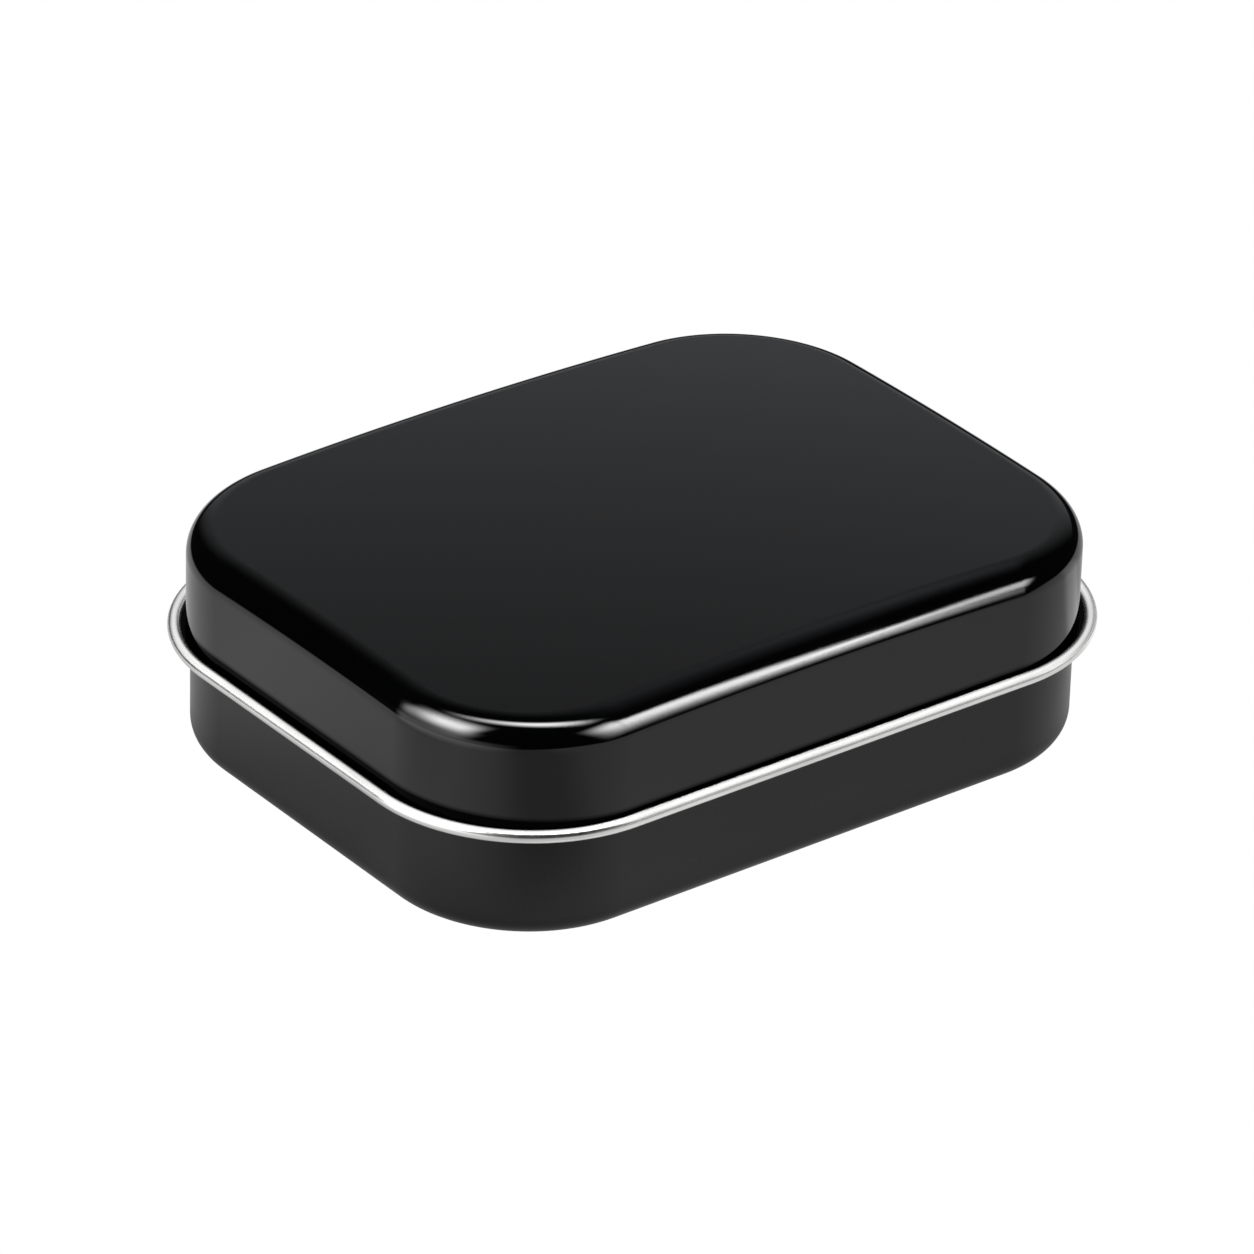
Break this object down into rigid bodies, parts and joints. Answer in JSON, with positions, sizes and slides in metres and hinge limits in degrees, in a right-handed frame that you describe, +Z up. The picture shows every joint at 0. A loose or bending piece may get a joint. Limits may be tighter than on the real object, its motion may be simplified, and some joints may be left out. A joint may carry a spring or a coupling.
{
  "type": "hinged mint tin",
  "caption": "Closed pocket mint tin with rounded corners: a crowned gloss black lid with a bare rolled edge, hinged at the back to a satin black base tray.",
  "frame": {"origin": "middle of the underside, on the surface the tin stands on", "axes": "+X along the long side, -Y towards the front, +Y towards the hinge, +Z up"},
  "size_m": [0.0836, 0.0648, 0.0251],
  "materials": {
    "lid_lacquer": "gloss",
    "base_lacquer": "satin",
    "bare_tinplate": "satin",
    "steel_wire": "drawn"
  },
  "bodies": {
    "base": {"base_tray": "base_lacquer", "base_rolled_mouth": "base_lacquer", "hinge_strap_left": "bare_tinplate", "hinge_strap_right": "bare_tinplate"},
    "lid": {"lid_cover": "lid_lacquer", "lid_rolled_edge": "bare_tinplate", "lid_hinge_barrel": "bare_tinplate", "hinge_wire": "steel_wire"}
  },
  "joints": [
    {"name": "lid_hinge", "type": "hinge", "parent": "base", "child": "lid", "pos_m": [0, 0.03177, 0.0125], "axis": [-1, 0, 0], "range_deg": [0, 110]}
  ]
}
